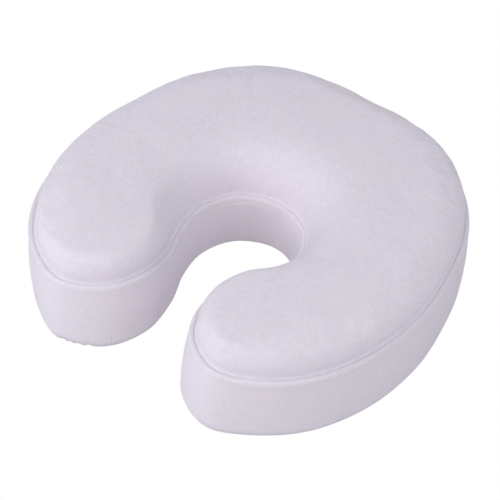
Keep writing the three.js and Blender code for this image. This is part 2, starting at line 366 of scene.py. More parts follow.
def capped(name, rows, spacing, base_lift=None):
    """A closed body of rows, with even triangles across its base and top."""
    base_grid, base_triangles = fill(rows[0][:, :2], spacing)
    top_grid, top_triangles = fill(rows[-1][:, :2], spacing)
    base = np.column_stack([base_grid, np.full(len(base_grid), rows[0][0, 2])])
    if base_lift is not None:
        base[:, 2] += base_lift(base[:, :2])
    top = np.column_stack([top_grid, np.full(len(top_grid), rows[-1][0, 2])])
    side = np.vstack(rows)
    faces = (stitched_rows(rows) + renumber(base_triangles, 0, len(side), turn_over=True)
             + renumber(top_triangles, len(side) - STATIONS, len(side) + len(base)))
    return make_mesh(name, np.vstack([side, base, top]), faces)


def new_finish(name, **evenly):
    """A material with its tree and shader; evenly sets the shader's sockets by name."""
    finish = bpy.data.materials.new(name)
    finish.use_nodes = True
    shader = finish.node_tree.nodes["Principled BSDF"]
    for socket, value in evenly.items():
        shader.inputs[socket.replace("_", " ")].default_value = value
    return finish, finish.node_tree, shader


def raise_surface(tree, shader, height, strength, depth):
    """Bumps on a shader, from a socket that gives their height."""
    bump = add_node(tree, "ShaderNodeBump", [(height, "Height")])
    bump.inputs["Strength"].default_value = strength
    bump.inputs["Distance"].default_value = depth
    tree.links.new(bump.outputs[0], shader.inputs["Normal"])


def foam(name, colour, pore_scale, pore_depth):
    finish, tree, shader = new_finish(name, Roughness=0.95, Specular_IOR_Level=0.1)
    place = add_node(tree, "ShaderNodeTexCoord")
    pores = add_node(tree, "ShaderNodeTexVoronoi", [(place.outputs["Object"], "Vector")])
    pores.inputs["Scale"].default_value = pore_scale
    uneven = add_node(tree, "ShaderNodeTexNoise", [(place.outputs["Object"], "Vector")], in_2=25.0, in_3=4.0)
    darker = tuple(c * 0.86 for c in colour[:3]) + (1,)
    tone = add_node(tree, "ShaderNodeMix", [(uneven.outputs[0], 0)], data_type="RGBA",
                    in_6=darker, in_7=colour)
    tree.links.new(tone.outputs[2], shader.inputs["Base Color"])
    raise_surface(tree, shader, pores.outputs["Distance"], 0.5, pore_depth)
    return finish


def press_up(points):
    """How far the zip presses the support foam up: its tapes by a little, its slider by more."""
    from_zip = np.abs(points[:, 1] - ZIP_Y)
    along = np.abs(points[:, 0])
    tapes, slider = 2.7 * MM, 1.2 * MM
    tapes *= (1 - smooth_share(from_zip, 13.2 * MM, 18 * MM)) * (1 - smooth_share(along, 0.112, 0.119))
    slider *= (1 - smooth_share(from_zip, 4.5 * MM, 8 * MM)) * (1 - smooth_share(along, 0.098, 0.106))
    return tapes + slider


support_rows = [edge_row(turn, depth * MM) for turn, depth in SUPPORT_EDGE]
support_rows += [level_row(height * MM, depth * MM) for height, depth in SUPPORT_LEVELS]
support_foam = capped("foam_support", support_rows, 3.2 * MM, press_up)
finish_piece(support_foam, "cushion", foam("support_foam", (0.72, 0.76, 0.77, 1), 900, 0.0008),
             "support_foam", "support_foam")

memory_rows = [level_row(height * MM, depth * MM) for height, depth in MEMORY_LEVELS]
memory_rows += [wall_row(share, START_BULGE, depth * MM) for share, depth in MEMORY_WALL]
memory_rows += [shoulder_row(share, depth * MM) for share, depth in MEMORY_SHOULDER]
memory_foam = capped("foam_memory", memory_rows, 5 * MM)
finish_piece(memory_foam, "cushion", foam("memory_foam", (0.80, 0.74, 0.60, 1), 1500, 0.0004),
             "memory_foam", "memory_foam")

# ---------------------------------------------------------------------------------------
# Cover. The whole cover is blown up once as one bag that is held along its seams, and the
# panels are then cut out of it, so that they puff as panels sewn together do.
TUCK = 5.9 * MM
THROAT_TUCK = 3.8 * MM
TURNED_IN = 1.1 * MM
TURNS = np.linspace(0.03, math.pi / 2, 7)
WALL_SHARES = np.linspace(0, 1, 19)[1:-1]
WALL_TOP = 0.9
SHOULDER_SHARES = np.concatenate([[0.06], np.linspace(0.1, 1, 15)])
# The seam in section, as millimetres out and up from it: the band rolls over a soft rim, and the
# top panel leaves it through a shallow furrow.
RIM = [(0.45, -4.4), (0.6, -3.1), (0.6, -2.0), (0.35, -1.0), (-0.25, -0.3), (-1.1, 0.05), (-2.1, 0.1),
       (-3.0, -0.05)]
COVE = [(-3.7, 0.2), (-4.25, 0.6), (-4.7, 1.15), (-5.05, 1.9)]
THROAT_RIM = [(0.1, -4.4), (0.15, -3.3), (0.05, -2.3), (-0.2, -1.35), (-0.65, -0.6), (-1.25, -0.05),
              (-1.9, 0.3), (-2.6, 0.6)]
THROAT_COVE = [(-3.2, 0.95), (-3.7, 1.45), (-4.15, 2.1), (-4.5, 3.0)]

edge_rows = [row(FOOT - EDGE_RADIUS, BASE + TURNED_IN)] + [edge_row(turn) for turn in TURNS]
wall_rows = [wall_row(share, START_BULGE) for share in WALL_SHARES if share < WALL_TOP]


def seam_profile_row(place, throat_place):
    """A row of the seam's section, which changes from the arms' to the throat's."""
    out, up = (a * (1 - SCOOPED) + b * SCOOPED for a, b in zip(place, throat_place))
    return row(out * MM, SEAM + up * MM)


rim_rows = [seam_profile_row(*pair) for pair in zip(RIM, THROAT_RIM)]
cove_rows = [seam_profile_row(*pair) for pair in zip(COVE, THROAT_COVE)]
tuck = TUCK * (1 - SCOOPED) + THROAT_TUCK * SCOOPED
shoulder_rows = [shoulder_row(share, tuck=tuck) for share in SHOULDER_SHARES]
bag_rows = edge_rows + wall_rows + rim_rows + cove_rows + shoulder_rows
top_line = shoulder_rows[-1][:, :2]
base_line = edge_rows[0][:, :2]
top_grid, top_triangles = fill(top_line, 3.2 * MM)
base_grid, base_triangles = fill(base_line, 6 * MM)
top_fill = np.column_stack([top_grid, np.full(len(top_grid), HEIGHT)])
base_fill = np.column_stack([base_grid, np.full(len(base_grid), BASE)])
row_points = np.vstack(bag_rows)
top_line_start = len(row_points) - STATIONS
top_start = len(row_points)
base_start = top_start + len(top_fill)
bag_points = np.vstack([row_points, top_fill, base_fill])
bag_faces = (stitched_rows(bag_rows) + renumber(top_triangles, top_line_start, top_start)
             + renumber(base_triangles, 0, base_start, turn_over=True))
bag = make_mesh("bag", bag_points, bag_faces)

# The bag is blown up a little. It is held at its foot, its base and along the seam, and the
# movement is kept small and fades towards the seam, so that the cover stays round its foam.
FOOT_ROWS_HELD = 5
COVE_ROWS_HELD = 3
BLOWING_STEPS = 20
MOST = 2.2 * MM
SEAM_HOLDS = (2.5 * MM, 15 * MM)
held = set(range(FOOT_ROWS_HELD * STATIONS)) | set(range(base_start, len(bag_points)))
first_rim = len(edge_rows) + len(wall_rows)
after_held = first_rim + len(rim_rows) + COVE_ROWS_HELD
held |= set(range(first_rim * STATIONS, after_held * STATIONS))
pins = bag.vertex_groups.new(name="seams")
pins.add(sorted(held), 1.0, "REPLACE")
cloth = bag.modifiers.new("cloth", "CLOTH")
cloth.settings.quality = 4
cloth.settings.mass = 0.2
cloth.settings.tension_stiffness = 25
cloth.settings.compression_stiffness = 25
cloth.settings.shear_stiffness = 15
cloth.settings.bending_stiffness = 2
cloth.settings.use_pressure = True
cloth.settings.uniform_pressure_force = 4
cloth.settings.vertex_group_mass = "seams"
cloth.settings.effector_weights.gravity = 0
cloth.collision_settings.use_collision = False
cloth.point_cache.frame_start = 1
cloth.point_cache.frame_end = BLOWING_STEPS
for step in range(1, BLOWING_STEPS + 1):
    scene.frame_set(step)
blown = bag.evaluated_get(bpy.context.evaluated_depsgraph_get()).to_mesh()
settled = np.empty(len(bag_points) * 3)
blown.vertices.foreach_get("co", settled)
settled = settled.reshape(-1, 3)
scene.frame_set(1)
bag.modifiers.clear()
moved = settled - bag_points
from_seam = np.full(len(bag_points), 1.0)
from_seam[:top_start] = np.abs(row_points[:, 2] - np.tile(SEAM, len(bag_rows)))
moved *= smooth_share(from_seam, *SEAM_HOLDS)[:, None]
far = np.linalg.norm(moved, axis=1)
moved *= (MOST * np.tanh(far / MOST) / np.maximum(far, 1e-9))[:, None]
bag_points = bag_points + moved
bpy.data.objects.remove(bag)

# What handling has left in the cover: slanting wrinkles on the left arm, a dimple where the
# scoop ends on the right arm, gathers under the left tip, and slow unevenness on the top. A
# furrow is its two ends, its depth and its width, and a gather is its bearing from the middle
# of the tip, all in millimetres and degrees.
FURROWS = [
    ((-118, -46), (-86, -92), 0.35, 4), ((-108, -40), (-78, -80), 0.3, 3.5),
    ((-97, -56), (-66, -98), 0.35, 4), ((-84, -60), (-60, -88), 0.3, 3.5),
    ((-104, -84), (-82, -112), 0.3, 4), ((60, -40), (70, -26), 1.3, 7),
    ((-60, 96), (-20, 120), 0.25, 6), ((112, -8), (98, 44), 0.25, 6),
]


def along_furrow(points, start, end):
    """How far each point is from a furrow's line, and a share that fades to nothing at its ends."""
    start, end = np.array(start) * MM, np.array(end) * MM
    run = end - start
    share = (points - start) @ run / (run @ run)
    beside = points - start - np.clip(share, 0, 1)[:, None] * run
    return np.linalg.norm(beside, axis=1), np.clip(4 * share * (1 - share), 0, 1)


def uneven(point, scale, seed):
    """Slow unevenness at a point, from -1 to 1."""
    return noise.noise(Vector((point[0] * scale, point[1] * scale, point[2] * scale + seed)))


on_top = smooth_share(bag_points[:, 2], 0.070, 0.082)
for start, end, deep, wide in FURROWS:
    apart, fading = along_furrow(bag_points[:, :2], start, end)
    bag_points[:, 2] -= deep * MM * on_top * fading * np.exp(-(apart / (wide * MM)) ** 2)
TIP_MIDDLE = np.array((-66, -112)) * MM
GATHERS = (-83, -75, -66, -55)
GATHER_DEPTH = 1.7 * MM
GATHER_WIDTH = 3.0
TIP_EDGE = (30 * MM, 55 * MM)
low_down = 1 - smooth_share(bag_points[:, 2], 0.005, 0.015)
from_middle = bag_points[:, :2] - TIP_MIDDLE
reach = np.linalg.norm(from_middle, axis=1)
bearing = np.degrees(np.arctan2(from_middle[:, 1], from_middle[:, 0]))
gathered = sum(np.exp(-((bearing - at) / GATHER_WIDTH) ** 2) for at in GATHERS) * low_down
gathered *= (reach > TIP_EDGE[0]) & (reach < TIP_EDGE[1])
bag_points[:, :2] -= from_middle / reach[:, None] * (GATHER_DEPTH * gathered)[:, None]
waves = np.array([uneven(p, 17, 0) * 0.9 + uneven(p, 38, 5) * 0.45 for p in bag_points]) * MM
bag_points[:, 2] += waves * on_top


# Velour: a short brushed pile on a knit. The pile group gives its height, the strokes of its
# nap, its slow clouding and a few specks of lint.
def new_group(name, inputs, outputs):
    """A node group from its sockets' names, kinds and values, with its input and output nodes."""
    group = bpy.data.node_groups.new(name, "ShaderNodeTree")
    for label, kind, value in inputs:
        socket = group.interface.new_socket(name=label, in_out="INPUT", socket_type=kind)
        if value is not None:
            socket.default_value = value
    for label, kind in outputs:
        group.interface.new_socket(name=label, in_out="OUTPUT", socket_type=kind)
    return group, group.nodes.new("NodeGroupInput"), group.nodes.new("NodeGroupOutput")


pile, pile_in, pile_out = new_group(
    "pile",
    [("Fibre Scale", "NodeSocketFloat", 1500.0), ("Brushed Scale", "NodeSocketFloat", 330.0)],
    [(output, "NodeSocketFloat") for output in ("Height", "Brushed", "Cloudy", "Lint")],
)
place = add_node(pile, "ShaderNodeTexCoord")
fibres = add_node(pile, "ShaderNodeTexNoise",
                  [(place.outputs["Object"], "Vector"), (pile_in.outputs["Fibre Scale"], "Scale")],
                  in_3=2.0, in_4=0.7)
# The nap lies over in short strokes, longer one way than the other, and wavers as it goes.
sway = add_node(pile, "ShaderNodeTexNoise", [(place.outputs["Object"], "Vector")], in_2=55.0, in_3=1.0)
swayed = add_node(pile, "ShaderNodeMix", [(place.outputs["Object"], 4), (sway.outputs["Color"], 5)],
                  data_type="VECTOR", in_0=0.012)
laid = add_node(pile, "ShaderNodeMapping", [(swayed.outputs[1], "Vector")])
laid.inputs["Rotation"].default_value = (0, 0, 0.9)
laid.inputs["Scale"].default_value = (0.6, 1, 1)
strokes = add_node(pile, "ShaderNodeTexNoise",
                   [(laid.outputs[0], "Vector"), (pile_in.outputs["Brushed Scale"], "Scale")],
                   in_3=3.0, in_4=0.6)
clouds = add_node(pile, "ShaderNodeTexNoise", [(place.outputs["Object"], "Vector")], in_2=16.0, in_3=3.0)
specks = add_node(pile, "ShaderNodeTexVoronoi", [(place.outputs["Object"], "Vector")], in_2=26.0)
lint = add_node(pile, "ShaderNodeMapRange", [(specks.outputs["Distance"], 0)],
                in_1=0.009, in_2=0.019, in_3=0.8, in_4=0.0)
strokes_share = add_node(pile, "ShaderNodeMath", [(strokes.outputs[0], 0)], operation="MULTIPLY", in_1=1.2)
both = add_node(pile, "ShaderNodeMath", [(fibres.outputs[0], 0), (strokes_share.outputs[0], 1)],
                operation="ADD")
for output, source in (("Height", both), ("Brushed", strokes), ("Cloudy", clouds), ("Lint", lint)):
    pile.links.new(source.outputs[0], pile_out.inputs[output])
VELOUR = (0.925, 0.857, 0.898, 1)
VELOUR_SHADE = (0.865, 0.79, 0.848, 1)
LINT = (0.52, 0.42, 0.49, 1)


def velour(name, brushed_scale, relief, colour=VELOUR, shade=VELOUR_SHADE):
    """Velour by how fine its nap is brushed, how deep the pile stands, and its two tones. The darker tone
    lies in the low strokes of the pile: painted shade, together with the nap's own streaks.
    """
    finish, tree, shader = new_finish(name, Specular_IOR_Level=0.15, Sheen_Weight=0.42,
                                      Sheen_Roughness=0.5, Sheen_Tint=(0.84, 0.91, 1.0, 1))
    nap = add_node(tree, "ShaderNodeGroup", node_tree=pile)
    nap.inputs["Fibre Scale"].default_value = 1500
    nap.inputs["Brushed Scale"].default_value = brushed_scale
    # The strokes that raise the pile also choose its tone, so the low strokes take the darker tone: painted
    # shade.
    strokes = add_node(tree, "ShaderNodeMapRange", [(nap.outputs["Brushed"], 0)], in_1=0.3, in_2=0.7)
    brushed = add_node(tree, "ShaderNodeMix", [(strokes.outputs[0], 0)], data_type="RGBA",
                       in_6=shade, in_7=colour)
    clouding = add_node(tree, "ShaderNodeMapRange", [(nap.outputs["Cloudy"], 0)],
                        in_1=0.35, in_2=0.7, in_4=0.5)
    warmer = (colour[0] * 1.005, colour[1] * 0.975, colour[2] * 0.985, 1)
    clouded = add_node(tree, "ShaderNodeMix", [(clouding.outputs[0], 0), (brushed.outputs[2], 6)],
                       data_type="RGBA", in_7=warmer)
    specked = add_node(tree, "ShaderNodeMix", [(nap.outputs["Lint"], 0), (clouded.outputs[2], 6)],
                       data_type="RGBA", in_7=LINT)
    tree.links.new(specked.outputs[2], shader.inputs["Base Color"])
    rough = add_node(tree, "ShaderNodeMapRange", [(nap.outputs["Brushed"], 0)],
                     in_1=0.3, in_2=0.7, in_3=1.0, in_4=0.88)
    tree.links.new(rough.outputs[0], shader.inputs["Roughness"])
    raise_surface(tree, shader, nap.outputs["Height"], relief, 0.0007)
    return finish


# The top and the band are one velour. The band's lighter tones are painted light: they brighten its side
# walls and the throat, which lie in shade, above the top.
velour_top = velour("velour_top", 380, 0.55, (0.91, 0.843, 0.887, 1), (0.85, 0.776, 0.837, 1))
velour_band = velour("velour_band", 520, 0.85, (0.955, 0.888, 0.925, 1), (0.9, 0.826, 0.88, 1))

CLOTH = 1.2 * MM


def sewn_panel(name, points, faces, finish, slot, node):
    """A panel of the cover: the points that its faces use, thickened inward by the cloth."""
    used = sorted({i for f in faces for i in f})
    number = {old: new for new, old in enumerate(used)}
    piece = make_mesh(name, points[used], [tuple(number[i] for i in f) for f in faces])
    shell = piece.modifiers.new("thickness", "SOLIDIFY")
    shell.thickness = CLOTH
    shell.offset = -1
    shell.use_even_offset = True
    apply_modifiers(piece)
    return finish_piece(piece, "cushion", finish, slot, node)


# The top panel runs from the last row of the rim to the middle of the top, and the band from
# the turned-in edge of the base up to the same row.
seam_row = len(edge_rows) + len(wall_rows) + len(rim_rows) - 1
top_faces = [f for f in bag_faces if min(f) >= seam_row * STATIONS and max(f) < base_start]
band_faces = [f for f in bag_faces if STATIONS <= max(f) < (seam_row + 1) * STATIONS]
top_panel = sewn_panel("cover_top", bag_points, top_faces, velour_top, "velour_top", "top_panel")
side_band = sewn_panel("cover_band", bag_points, band_faces, velour_band, "velour_band", "side_band")

# ---------------------------------------------------------------------------------------
# Underside of the cover: two pieces of the same velour, with the zip between them. Each has
# its edge turned in to the seam, and its zip edge folded up to the tape and topstitched.
SLOT = 6 * MM
SEWN = 0.12 * MM
SLOT_CLOSES = (0.105, 0.114)
CORNER_ROUNDING = 1.8 * MM
# The turned edge in section, as millimetres in from the outline and up from the panel's face.
TURNED_EDGE = [(0, 0.9), (0.08, 0.5), (0.25, 0.2), (0.5, 0.04), (0.9, 0)]
base_loop = row(FOOT - EDGE_RADIUS - SEWN, BASE)[:, :2]


def rise_to_zip(points):
    """How far the panels are drawn up to the tapes, fading out beside and beyond the slot."""
    beside = smooth_share(np.abs(points[:, 1] - ZIP_Y) - SLOT, 0, 9 * MM)
    beyond = smooth_share(np.abs(points[:, 0]), 0.106, 0.118)
    return 1.9 * MM * (1 - beside) * (1 - beyond)


def base_panel(name, arc, side, node):
    """A panel from its arc of the outline: the slot's edge, the turned edge all round, the flat."""
    slot_x = np.linspace(arc[-1][0], arc[0][0], 200)[1:-1]
    half_slot = SEWN + (SLOT - SEWN) * (1 - smooth_share(np.abs(slot_x), *SLOT_CLOSES))
    line = spaced_evenly(np.vstack([arc, np.column_stack([slot_x, ZIP_Y + side * half_slot])]), STATIONS)
    spacing = np.linalg.norm(line[1] - line[0])
    for _ in range(int(2 * (CORNER_ROUNDING / spacing) ** 2)):
        line = line / 2 + (np.roll(line, 1, 0) + np.roll(line, -1, 0)) / 4
    ways = outward_from(line)
    rows = []
    for inward, up in TURNED_EDGE:
        ring = line - ways * inward * MM
        rows.append(np.column_stack([ring, BASE + up * MM + rise_to_zip(ring)]))
    grid, triangles = fill(rows[-1][:, :2], 3.6 * MM)
    middle = np.column_stack([grid, BASE + rise_to_zip(grid)])
    last_ring = (len(rows) - 1) * STATIONS
    faces = [f[::-1] for f in stitched_rows(rows)]
    faces += renumber(triangles, last_ring, len(rows) * STATIONS, turn_over=True)
    return sewn_panel(name, np.vstack(rows + [middle]), faces, velour_base, "velour_base", node)


# The stations start in the throat, so the front panel's arc runs through the first of them and
# the rear panel's doesn't.
velour_base = velour("velour_base", 520, 0.9)
in_front = np.flatnonzero(base_loop[:, 1] < ZIP_Y - SEWN)
arc_end = in_front[in_front < STATIONS // 2].max()
arc_start = in_front[in_front > STATIONS // 2].min()
front_arc = np.vstack([base_loop[arc_start:], base_loop[:arc_end + 1]])
front_arc[[0, -1], 1] = ZIP_Y - SEWN
behind = np.flatnonzero(base_loop[:, 1] > ZIP_Y + SEWN)
rear_arc = base_loop[behind.min():behind.max() + 1].copy()
rear_arc[[0, -1], 1] = ZIP_Y + SEWN
base_front = base_panel("cover_base_front", front_arc, -1, "bottom_panel_front")
base_rear = base_panel("cover_base_rear", rear_arc, 1, "bottom_panel_rear")

# ---------------------------------------------------------------------------------------
# Zip tapes: two strips of woven polyester, each with a thicker corded edge on the outside.
# They lie inside the cover, over the slot, and hold the coils along their inner edges.
CORD_FROM_MIDDLE = 11.2 * MM
CORD_THICKER = 1.7


def start_edit(name, make, **where):
    """A primitive is added and opened in edit mode, all of it selected."""
    bpy.ops.object.select_all(action="DESELECT")
    make(**where)
    piece = bpy.context.object
    piece.name = name
    piece.data.name = name
    bpy.ops.object.mode_set(mode="EDIT")
    bpy.ops.mesh.select_all(action="SELECT")
    return piece


def pick(piece, test):
    """Selects the faces whose middle and way out pass the test."""
    bpy.ops.mesh.select_all(action="DESELECT")
    bpy.ops.mesh.select_mode(type="FACE")
    mesh = bmesh.from_edit_mesh(piece.data)
    for face in mesh.faces:
        if test(face.calc_center_median(), face.normal):
            face.select_set(True)
    mesh.select_flush_mode()
    bmesh.update_edit_mesh(piece.data)


def end_edit(piece, smooth_angle=None):
    """Closes edit mode, applies the piece's place, and smooths its edges under an angle."""
    bpy.ops.object.mode_set(mode="OBJECT")
    bpy.ops.object.select_all(action="DESELECT")
    bpy.context.view_layer.objects.active = piece
    piece.select_set(True)
    bpy.ops.object.transform_apply(location=True, rotation=True, scale=True)
    if smooth_angle is not None:
        bpy.ops.object.shade_smooth_by_angle(angle=math.radians(smooth_angle))
    piece.select_set(False)
    return piece


def block(name, low, high):
    """A cube between two corners, left open in edit mode."""
    low, high = Vector(low), Vector(high)
    piece = start_edit(name, bpy.ops.mesh.primitive_cube_add, size=1)
    size = high - low
    bpy.ops.transform.resize(value=size)
    bpy.ops.transform.translate(value=(low + high) / 2)
    return piece


weave, weave_in, weave_out = new_group(
    "weave",
    [("Along", "NodeSocketFloat", 1400.0), ("Across", "NodeSocketFloat", 900.0)],
    [("Height", "NodeSocketFloat"), ("Groove Shade", "NodeSocketFloat")],
)
place = add_node(weave, "ShaderNodeTexCoord")
parts = add_node(weave, "ShaderNodeSeparateXYZ", [(place.outputs["Object"], 0)])
warp = add_node(weave, "ShaderNodeMath", [(parts.outputs[1], 0), (weave_in.outputs["Across"], 1)],
                operation="MULTIPLY")
zigzag = add_node(weave, "ShaderNodeMath", [(warp.outputs[0], 0)], operation="PINGPONG", in_1=1.5)
weft = add_node(weave, "ShaderNodeMath", [(parts.outputs[0], 0), (weave_in.outputs["Along"], 1)],
                operation="MULTIPLY")
slant = add_node(weave, "ShaderNodeMath", [(weft.outputs[0], 0), (zigzag.outputs[0], 1)], operation="ADD")
ribs = add_node(weave, "ShaderNodeMath", [(slant.outputs[0], 0)], operation="PINGPONG", in_1=0.5)
fuzz = add_node(weave, "ShaderNodeTexNoise", [(place.outputs["Object"], "Vector")], in_2=3000.0, in_3=2.0)
height = add_node(weave, "ShaderNodeMath", [(ribs.outputs[0], 0), (fuzz.outputs[0], 1)], operation="ADD")
weave.links.new(height.outputs[0], weave_out.inputs["Height"])
# The ribs also go out as a mask that finishes use to paint shade into the grooves between them.
weave.links.new(ribs.outputs[0], weave_out.inputs["Groove Shade"])


def woven(name, colour, shade, along, across, roughness):
    """Woven cloth or twisted thread, by its two tones and how many yarns run in a metre. The darker tone lies
    in the grooves between the ribs of the weave: painted shade.
    """
    finish, tree, shader = new_finish(name, Roughness=roughness, Sheen_Weight=0.15)
    cloth_weave = add_node(tree, "ShaderNodeGroup", node_tree=weave)
    cloth_weave.inputs["Along"].default_value = along
    cloth_weave.inputs["Across"].default_value = across
    # The ribs choose the tone, so the low grooves of the weave take the darker tone: painted shade.
    tone = add_node(tree, "ShaderNodeMapRange", [(cloth_weave.outputs["Groove Shade"], 0)], in_1=0.0, in_2=0.5)
    mixed = add_node(tree, "ShaderNodeMix", [(tone.outputs[0], 0)], data_type="RGBA",
                     in_6=shade, in_7=colour)
    tree.links.new(mixed.outputs[2], shader.inputs["Base Color"])
    raise_surface(tree, shader, cloth_weave.outputs["Height"], 0.6, 0.0003)
    return finish


zip_fabric = woven("zip_tape", (0.72, 0.67, 0.75, 1), (0.55, 0.50, 0.58, 1), 1500, 900, 0.8)
for name, side in (("front", -1), ("rear", 1)):
    node = "zip_tape_" + name
    low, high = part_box(node)
    tape = block("tape_" + name, low, high)
    bpy.ops.mesh.subdivide(number_cuts=11)
    cord_line = ZIP_Y + side * CORD_FROM_MIDDLE
    pick(tape, lambda at, way: abs(way.z) > 0.5 and side * (at.y - cord_line) > 0)
    bpy.ops.transform.resize(value=(1, 1, CORD_THICKER),
                             center_override=((low.x + high.x) / 2, cord_line, (low.z + high.z) / 2))
    end_edit(tape, 40)
    finish_piece(tape, "cushion", zip_fabric, "zip_tape", node)

# ---------------------------------------------------------------------------------------
# Zip coils: one nylon monofilament wound along each tape. One turn is bent from a ring and
# repeated along the chain; the turns stop short of the middle, where the slider's web runs.
COIL_PITCH = 1.2 * MM
COIL_FROM_MIDDLE = 0.32 * MM
COIL_RADIUS, WIRE_RADIUS = 0.55 * MM, 0.25 * MM
TURN_SEGMENTS, WIRE_SEGMENTS = 12, 5
TURN_SQUEEZE = 0.72
TURN_SLANT = 0.28

nylon, nylon_tree, nylon_shader = new_finish("zip_coil", Roughness=0.38, Subsurface_Weight=0.2,
                                             Subsurface_Radius=(0.001, 0.001, 0.001))
place = add_node(nylon_tree, "ShaderNodeTexCoord")
cast = add_node(nylon_tree, "ShaderNodeTexNoise", [(place.outputs["Object"], "Vector")], in_2=300.0)
cast_tone = add_node(nylon_tree, "ShaderNodeMix", [(cast.outputs[0], 0)], data_type="RGBA",
                     in_6=(0.66, 0.62, 0.69, 1), in_7=(0.80, 0.76, 0.82, 1))
nylon_tree.links.new(cast_tone.outputs[2], nylon_shader.inputs["Base Color"])


def repeated(name, one, moves):
    """Copies of one mesh joined in one piece, each placed by its own matrix."""
    points = np.array([v.co for v in one.data.vertices])
    faces = [tuple(p.vertices) for p in one.data.polygons]
    all_points, all_faces = [], []
    for k, move in enumerate(moves):
        turned = np.array(move.to_3x3())
        all_points.append(points @ turned.T + np.array(move.translation))
        all_faces += [tuple(i + k * len(points) for i in f) for f in faces]
    bpy.data.objects.remove(one)
    return make_mesh(name, np.vstack(all_points), all_faces)


for name, side in (("front", -1), ("rear", 1)):
    node = "zip_coil_" + name
    low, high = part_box(node)
    inner = ZIP_Y + side * COIL_FROM_MIDDLE
    low.y, high.y = (low.y, inner) if side < 0 else (inner, high.y)
    turn = start_edit("turn", bpy.ops.mesh.primitive_torus_add, major_segments=TURN_SEGMENTS,
                      minor_segments=WIRE_SEGMENTS, major_radius=COIL_RADIUS, minor_radius=WIRE_RADIUS,
                      rotation=(math.pi / 2, 0, math.pi / 2))
    end_edit(turn)
    bpy.ops.object.select_all(action="DESELECT")
    turn_points = np.array([v.co for v in turn.data.vertices])
    span = np.ptp(turn_points, axis=0)
    turn_points *= (TURN_SQUEEZE, (high.y - low.y) / span[1], (high.z - low.z) / span[2])
    turn_points[:, 0] += turn_points[:, 1] * TURN_SLANT * side
    turn.data.vertices.foreach_set("co", turn_points.ravel())
    middle = (low + high) / 2
    count = int((high.x - low.x) / COIL_PITCH)
    starts = [low.x + COIL_PITCH * (k + 0.5) for k in range(count)]
    coil = repeated("coil_" + name, turn, [Matrix.Translation((x, middle.y, middle.z)) for x in starts])
    finish_piece(coil, "cushion", nylon, "zip_coil", node)

# ---------------------------------------------------------------------------------------
# Zip stops: a small metal staple pressed on each coil where the zip closes, and one across both
# coils where it opens. Each is a block with rounded edges and a pressed groove.
GROOVE_WALL, GROOVE_DEPTH = 0.45 * MM, 0.25 * MM
METAL_EDGE = 0.16 * MM
metal, metal_tree, metal_shader = new_finish("zip_metal", Metallic=1.0)
place = add_node(metal_tree, "ShaderNodeTexCoord")
rubs = add_node(metal_tree, "ShaderNodeTexNoise", [(place.outputs["Object"], "Vector")], in_2=420.0, in_3=5.0)
rub_tone = add_node(metal_tree, "ShaderNodeMapRange", [(rubs.outputs[0], 0)],
                    in_1=0.35, in_2=0.7, in_3=0.26, in_4=0.48)
metal_tree.links.new(rub_tone.outputs[0], metal_shader.inputs["Roughness"])
rub_colour = add_node(metal_tree, "ShaderNodeMix", [(rubs.outputs[0], 0)], data_type="RGBA",
                      in_6=(0.58, 0.59, 0.61, 1), in_7=(0.74, 0.75, 0.77, 1))
metal_tree.links.new(rub_colour.outputs[2], metal_shader.inputs["Base Color"])
raise_surface(metal_tree, metal_shader, rubs.outputs[0], 0.15, 0.00008)

for node in ("zip_top_stop_front", "zip_top_stop_rear", "zip_bottom_stop"):
    low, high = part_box(node)
    stop = block(node.replace("zip_", ""), low, high)
    pick(stop, lambda at, way: way.z < -0.5)
    bpy.ops.mesh.inset(thickness=GROOVE_WALL, depth=-GROOVE_DEPTH)
    bpy.ops.mesh.select_all(action="SELECT")
    bpy.ops.mesh.bevel(offset=METAL_EDGE, segments=2, affect="EDGES")
    end_edit(stop, 50)
    finish_piece(stop, "cushion", metal, "zip_metal", node)

# ---------------------------------------------------------------------------------------
# Zip slider and its pull tab: die-cast, polished, with rounded edges. The tab's end bar turns
# in the slider's bridge.
for node, body in (("zip_slider", "slider"), ("zip_pull", "pull")):
    bpy.ops.object.select_all(action="DESELECT")
    cast_piece = bpy.data.objects.new(node.replace("zip_", "metal_"), bpy.data.objects[node].data.copy())
    scene.collection.objects.link(cast_piece)
    bpy.context.view_layer.objects.active = cast_piece
    cast_piece.select_set(True)
    bpy.ops.object.mode_set(mode="EDIT")
    bpy.ops.mesh.select_all(action="SELECT")
    bpy.ops.mesh.remove_doubles(threshold=1e-6)
    bpy.ops.mesh.dissolve_limited(angle_limit=math.radians(1))
    bpy.ops.object.mode_set(mode="OBJECT")
    rounding = cast_piece.modifiers.new("rounding", "BEVEL")
    rounding.width = METAL_EDGE
    rounding.segments = 3
    rounding.limit_method = "ANGLE"
    rounding.angle_limit = math.radians(35)
    apply_modifiers(cast_piece)
    cast_piece.select_set(True)
    bpy.ops.object.shade_smooth_by_angle(angle=math.radians(40))
    cast_piece.select_set(False)
    finish_piece(cast_piece, body, metal, "zip_metal", node)

# ---------------------------------------------------------------------------------------
# Loop tape: three pads of brushed loops woven on a backing, cut with round corners, laid on
# the underside and stitched round the edge. They grip the hooks of a cradle's frame.
loops, loops_tree, loops_shader = new_finish("loop_tape", Roughness=0.95, Sheen_Weight=0.4,
                                             Specular_IOR_Level=0.2)
place = add_node(loops_tree, "ShaderNodeTexCoord")
curls = add_node(loops_tree, "ShaderNodeTexVoronoi", [(place.outputs["Object"], "Vector")], in_2=1100.0)
tangle = add_node(loops_tree, "ShaderNodeTexNoise", [(place.outputs["Object"], "Vector")],
                  in_2=700.0, in_3=6.0)
